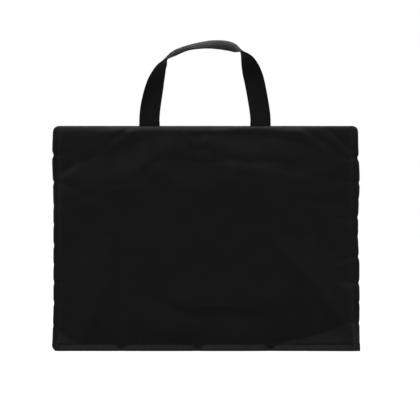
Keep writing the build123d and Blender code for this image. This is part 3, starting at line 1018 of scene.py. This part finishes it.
# A rounded fold from the flange, which is sewn flat, to the web, which stands up to the coil
TAPE_SECTION = [(14.4, 7.05), (12.4, 7.05), (10.4, 7.05), (9.0, 7.05), (8.2, 6.95), (7.5, 6.6), (7.12, 6.0),
                (7.0, 5.3), (7.0, 4.4), (7.0, 3.5)]
TAPE_THICK = 0.6
SHUT_RAMP = 8.0  # the length over which the zip's two halves close up, below each corner
SHUT_REACH = 3.0  # how much nearer to the middle the web stands on the sides, where no slider runs
for side in ("front", "back"):
    tape = sweep(TAPE_SECTION, 0, ZIP_LONG)
    places = points_of(tape)
    free_edge = np.isclose(-places[:, 1] / MM, TAPE_SECTION[-1][1], atol=0.1)
    shut = np.clip((CASE_TOP - ZIP_IN - ZIP_RADIUS - places[:, 2] / MM) / SHUT_RAMP, 0, 1)
    places[:, 1] += np.where(free_edge, SHUT_REACH * shut, 0) * MM
    move_points(tape, places)
    thicken(tape, TAPE_THICK)
    face_out(tape)
    if side == "back":
        turn_to_back(tape)
    smooth(tape, 50)
    dress(tape, f"{side}_tape_cloth", "zip_tape")
    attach(tape, f"{side}_cover")
    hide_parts(f"{side}_zip_tape")
    print(tape.name, len(tape.data.polygons), "faces")

# %% [markdown]
# The hem is the shell's own nylon, turned in over the edge and sewn down. It is a flattened roll with a soft fold on
# each side, and it stops on both sides of each strap.

# %% Turned hems
HEM_SECTION = [(5.3, 8.9), (5.0, 8.3), (5.3, 7.7), (6.2, 7.4), (8.0, 7.5), (9.2, 7.75), (10.4, 7.5), (12.4, 7.4),
               (13.8, 7.75), (15.0, 7.5), (16.3, 7.6), (17.0, 8.2), (16.7, 8.9)]
HEM_THICK, HEM_END = 0.3, 0.3  # the cloth's thickness, and how far short of its run each end stops
HEM_GAP = STRAP_HALF + 0.4  # half of the gap for a strap
top_middle = ZIP_LEG + ZIP_ARC + ZIP_TOP_RUN / 2  # the length along the zip to the middle of the top
cuts = [0.0]
for foot in (LEFT_FOOT, RIGHT_FOOT):
    cuts += [top_middle + foot - HEM_GAP, top_middle + foot + HEM_GAP]
cuts.append(ZIP_LONG)
hem_runs = list(zip(cuts[::2], cuts[1::2]))


def close_ends(obj):
    """Fills a swept piece's open rims and closes it into a solid."""
    alone(obj)
    bpy.ops.object.mode_set(mode="EDIT")
    bpy.ops.mesh.select_mode(type="EDGE")
    bpy.ops.mesh.select_all(action="DESELECT")
    bpy.ops.mesh.select_non_manifold()
    bpy.ops.mesh.edge_face_add()
    bpy.ops.mesh.select_all(action="SELECT")
    bpy.ops.mesh.quads_convert_to_tris()
    bpy.ops.mesh.normals_make_consistent(inside=False)
    bpy.ops.object.mode_set(mode="OBJECT")


for side in ("front", "back"):
    runs = []
    for start, end in hem_runs:
        run = sweep(HEM_SECTION, start + HEM_END, end - HEM_END, 4.0)
        thicken(run, HEM_THICK)
        runs.append(run)
    deselect()
    for run in runs:
        run.select_set(True)
    bpy.context.view_layer.objects.active = runs[0]
    bpy.ops.object.join()
    hem = runs[0]
    face_out(hem)
    if side == "back":
        turn_to_back(hem)
    smooth(hem, 50)
    dress(hem, f"{side}_turned_hem", "binding")
    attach(hem, f"{side}_cover")
    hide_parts(f"{side}_hem")
    print(hem.name, len(hem.data.polygons), "faces")

# %% [markdown]
# The coil is one nylon thread wound into flat loops, each of which passes round the edge of the tape. Its line is a
# flattened helix along the zip, and a thin round section is swept along that. Down the two sides, where no slider
# runs, the loops of one row reach in between those of the other, half a turn out of step, so the zip is shut there.

# %% Zip coils
COIL_PITCH = 1.6
COIL_THREAD = 0.34  # half the thread's thickness
COIL_STEPS, COIL_SIDES = 10, 5  # steps in one turn, and sides of the thread
COIL_SQUARE = 0.6  # less than 1 makes the loops squarer
COIL_END = 0.4  # how far short of the tape's ends the coil stops
coil_low, coil_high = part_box("front_zip_coil")
COIL_NEAR = -coil_high.y / MM + COIL_THREAD
COIL_FAR = -coil_low.y / MM - COIL_THREAD
COIL_HIGH = 0.62  # half the height of a loop


def make_coil(out_of_step):
    """One row of the zip's coil, on the front tape, started a part of a turn out of step."""
    count = round(ZIP_LONG / COIL_PITCH) * COIL_STEPS + 1
    deselect()
    bpy.ops.mesh.primitive_grid_add(x_subdivisions=COIL_SIDES, y_subdivisions=count - 1, size=1)
    obj = bpy.context.object
    flat = points_of(obj)
    row = np.rint((flat[:, 1] + 0.5) * (count - 1)).astype(int)
    round_it = (flat[:, 0] + 0.5) * 2 * math.pi
    angle = (np.arange(count) / COIL_STEPS + out_of_step) * 2 * math.pi
    squared = np.sign(np.cos(angle)) * np.abs(np.cos(angle)) ** COIL_SQUARE
    along = np.linspace(COIL_END, ZIP_LONG - COIL_END, count)
    near = COIL_NEAR * (1 - np.clip((ZIP_LEG - np.minimum(along, ZIP_LONG - along)) / SHUT_RAMP, 0, 1))
    depth = (near + COIL_FAR) / 2 + (COIL_FAR - near) / 2 * squared
    lift = COIL_HIGH * np.sin(angle)
    x, z, _, _ = zip_line(along, ZIP_IN - lift)
    line = np.stack((x, -depth, z), 1)
    ahead = np.gradient(line, axis=0)
    ahead /= np.linalg.norm(ahead, axis=1)[:, None]
    _, _, out_x, out_z = zip_line(along, ZIP_IN + 0 * lift)
    run = np.stack((-out_z, 0 * out_x, out_x), 1)
    side_way = np.cross(ahead, run)
    side_way /= np.linalg.norm(side_way, axis=1)[:, None]
    up = np.cross(side_way, ahead)
    ring = (np.cos(round_it)[:, None] * side_way[row] + np.sin(round_it)[:, None] * up[row]) * COIL_THREAD
    move_points(obj, (line[row] + ring) * MM)
    alone(obj)
    bpy.ops.object.mode_set(mode="EDIT")
    bpy.ops.mesh.select_all(action="SELECT")
    bpy.ops.mesh.remove_doubles(threshold=0.01 * MM)
    bpy.ops.object.mode_set(mode="OBJECT")
    close_ends(obj)
    return obj


for side in ("front", "back"):
    coil = make_coil(0 if side == "front" else 0.5)
    if side == "back":
        turn_to_back(coil)
    smooth(coil, 80)
    dress(coil, f"{side}_coil_row", "zip_coil")
    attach(coil, f"{side}_cover")
    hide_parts(f"{side}_zip_coil")
    print(coil.name, len(coil.data.polygons), "faces")

# %% [markdown]
# A short piece of folded nylon closes each end of the zip. It starts as a strip, is folded double over its top edge
# and stands on the spine.

# %% Zip end tabs
TAB_TURN = 0.35  # half the gap between the folded tab's two sides
TAB_THICK = 0.45
TAB_BOW = 0.25  # how far its sides bow out
for side, way in (("left", -1), ("right", 1)):
    tab_low, tab_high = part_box(f"zip_end_tab_{side}")
    high, wide = (tab_high.z - tab_low.z) / MM, (tab_high.y - tab_low.y) / MM
    straight = high - TAB_TURN - TAB_BOW
    deselect()
    bpy.ops.mesh.primitive_grid_add(x_subdivisions=16, y_subdivisions=40, size=1)
    tab = bpy.context.object
    flat = points_of(tab)
    whole = 2 * straight + math.pi * TAB_TURN
    run = (flat[:, 1] + 0.5) * whole
    turn = np.clip((run - straight) / TAB_TURN, 0, math.pi)
    z = np.minimum(run, straight) + TAB_TURN * np.sin(turn) - np.maximum(run - straight - math.pi * TAB_TURN, 0)
    x = -TAB_TURN * np.cos(turn)
    y = flat[:, 0] * wide * (1 - 0.10 * np.clip((z - high + 3) / 3, 0, 1) ** 2)  # a little narrower at its top
    middle = (tab_low.x + tab_high.x) / 2 / MM
    bow = TAB_BOW * np.sin(math.pi * z / high) * np.cos(math.pi * y / wide)
    move_points(tab, np.stack((middle + way * (x + bow), y, tab_low.z / MM + z), 1) * MM)
    thicken(tab, TAB_THICK)
    face_out(tab)
    smooth(tab)
    dress(tab, f"{side}_zip_tab", "nylon")
    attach(tab, "spine")
    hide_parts(f"zip_end_tab_{side}")
    print(tab.name, len(tab.data.polygons), "faces")

# %% [markdown]
# ## Stitching
# Every stitch is a short, fat thread that dips into the cloth at both ends. One is modelled from a ball that is
# drawn out, and then it is copied along each seam, a copy for each stitch, on the surface of the cloth it is in.

# %% One stitch, and sewing along a line
STITCH_LONG, STITCH_PITCH, STITCH_THICK = 2.7, 3.3, 0.55
STITCH_DIP = 0.35  # how far its ends go down into the cloth


def make_stitch():
    """One stitch, lying along x at the origin: its points in millimetres, and its faces."""
    deselect()
    bpy.ops.mesh.primitive_uv_sphere_add(segments=6, ring_count=4, radius=0.5, rotation=(0, math.radians(90), 0))
    ball = bpy.context.object
    settle(ball)
    places = points_of(ball) * (STITCH_LONG, STITCH_THICK, STITCH_THICK)
    places[:, 2] -= STITCH_DIP * (np.abs(places[:, 0]) / (STITCH_LONG / 2)) ** 2
    faces = [list(face.vertices) for face in ball.data.polygons]
    bpy.data.objects.remove(ball)
    return places, faces


stitch_points, stitch_faces = make_stitch()


def sew(name, middles, alongs, outs, body):
    """Copies the stitch to each place, and makes one piece of them that rides on a body."""
    alongs = alongs / np.linalg.norm(alongs, axis=1)[:, None]
    across = np.cross(outs, alongs)
    across /= np.linalg.norm(across, axis=1)[:, None]
    up = np.cross(alongs, across)
    x, y, z = stitch_points.T
    places = (middles[:, None] + alongs[:, None] * x[None, :, None] + across[:, None] * y[None, :, None]
              + up[:, None] * z[None, :, None]).reshape(-1, 3)
    count = len(stitch_points)
    faces = [[v + i * count for v in face] for i in range(len(middles)) for face in stitch_faces]
    mesh = bpy.data.meshes.new(name)
    mesh.from_pydata((places * MM).tolist(), [], faces)
    seam = bpy.data.objects.new(name, mesh)
    scene.collection.objects.link(seam)
    face_out(seam)
    smooth(seam, 80)
    dress(seam, name, "thread")
    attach(seam, body)
    return seam


def along_runs(corners):
    """Stitch middles and directions along straight runs between corners, given as x and height."""
    spots, ways = [], []
    for a, b in zip(corners, corners[1:]):
        a, b = np.array(a, float), np.array(b, float)
        count = max(1, round(math.dist(a, b) / STITCH_PITCH))
        for i in range(count):
            spots.append(a + (b - a) * (i + 0.5) / count)
            ways.append((b - a) / math.dist(a, b))
    return np.array(spots), np.array(ways)


print("one stitch has", len(stitch_faces), "faces")

# %% Topstitching round the covers
SEAM_X, SEAM_TOP, SEAM_FOOT = CASE_HALF - SEAM_IN, CASE_TOP - 6, FOOT_SEAM + 2
seam_corners = [(-SEAM_X, SEAM_TOP), (-SEAM_X, SEAM_FOOT), (SEAM_X, SEAM_FOOT), (SEAM_X, SEAM_TOP)]
spots, ways = along_runs(seam_corners)
for side, way in (("front", -1), ("back", 1)):
    surface = BVHTree.FromObject(covers[side], bpy.context.evaluated_depsgraph_get())
    middles, outs = [], []
    for x, z in spots:
        place, normal, _, _ = surface.ray_cast(Vector((x * MM, way * 0.2, z * MM)), Vector((0, -way, 0)))
        middles.append(place / MM)
        outs.append(normal)
    middles, outs = np.array(middles), np.array(outs)
    slopes = np.gradient(middles[:, 1]) / STITCH_PITCH
    alongs = np.stack((ways[:, 0], slopes, ways[:, 1]), 1)
    seam = sew(f"{side}_topstitching", middles + 0.1 * outs, alongs, outs, f"{side}_cover")
    print(seam.name, len(middles), "stitches")

# %% [markdown]
# Inside a cover, one row of stitches holds the hem and another the zip's tape. Each end of the webbing is held by a
# box with a cross, as on most bags, because it spreads the pull of the handle over the cloth.

# %% Stitching inside the covers
HEM_ROW = (15.9, 7.42)  # a row's distance in from the case's edge, and its depth from the middle plane
TAPE_ROW = (11.4, 6.72)
BOX_HALF, BOX_LOW, BOX_HIGH = 12.0, CASE_TOP - 44, CASE_TOP - 18
BOX_DEPTH = 7.3
ROW_END = 3  # how far inside each end of its run a row stops
for side, way in (("front", -1), ("back", 1)):
    middles, alongs = [], []
    for start, end, (inset, depth) in [(*run, HEM_ROW) for run in hem_runs] + [(0, ZIP_LONG, TAPE_ROW)]:
        length = np.arange(start + ROW_END, end - ROW_END, STITCH_PITCH)
        x, z, out_x, out_z = zip_line(length, inset + 0 * length)
        middles.append(np.stack((x, 0 * x + way * depth, z), 1))
        alongs.append(np.stack((-out_z, 0 * x, out_x), 1))
    for foot in (LEFT_FOOT, RIGHT_FOOT):
        a, b = foot - BOX_HALF, foot + BOX_HALF
        box_spots, box_ways = along_runs([(a, BOX_LOW), (b, BOX_LOW), (b, BOX_HIGH), (a, BOX_HIGH), (a, BOX_LOW),
                                          (b, BOX_HIGH)])
        cross_spots, cross_ways = along_runs([(b, BOX_LOW), (a, BOX_HIGH)])
        box_spots, box_ways = np.vstack((box_spots, cross_spots)), np.vstack((box_ways, cross_ways))
        flat = 0 * box_spots[:, 0]
        middles.append(np.stack((box_spots[:, 0], flat + way * BOX_DEPTH, box_spots[:, 1]), 1))
        alongs.append(np.stack((box_ways[:, 0], flat, box_ways[:, 1]), 1))
    middles, alongs = np.concatenate(middles), np.concatenate(alongs)
    outs = np.tile((0.0, -way, 0.0), (len(middles), 1))
    seam = sew(f"{side}_inner_stitching", middles, alongs, outs, f"{side}_cover")
    print(seam.name, len(middles), "stitches")

# %% [markdown]
# ## Parts that come straight from the engineering model
# The boards, the sliders and their pulls already have their right shapes, so they only get their finishes.

# %% Finishes on the carried-over parts
record_slots = {part["node"]: part["material_slot"] for part in frame["record"]["subparts"]}
for name, node in frame["nodes"].items():
    node.data.materials.clear()
    node.data.materials.append(finishes[record_slots[name]])
print("carried over", sum(not o.hide_render for o in frame["nodes"].values()))

# %% [markdown]
# Last, the outer box of the dressed case is printed.

# %% Sizes, and the end
low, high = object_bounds()
print("visual", [round(x, 4) for x in (*low, *high)])
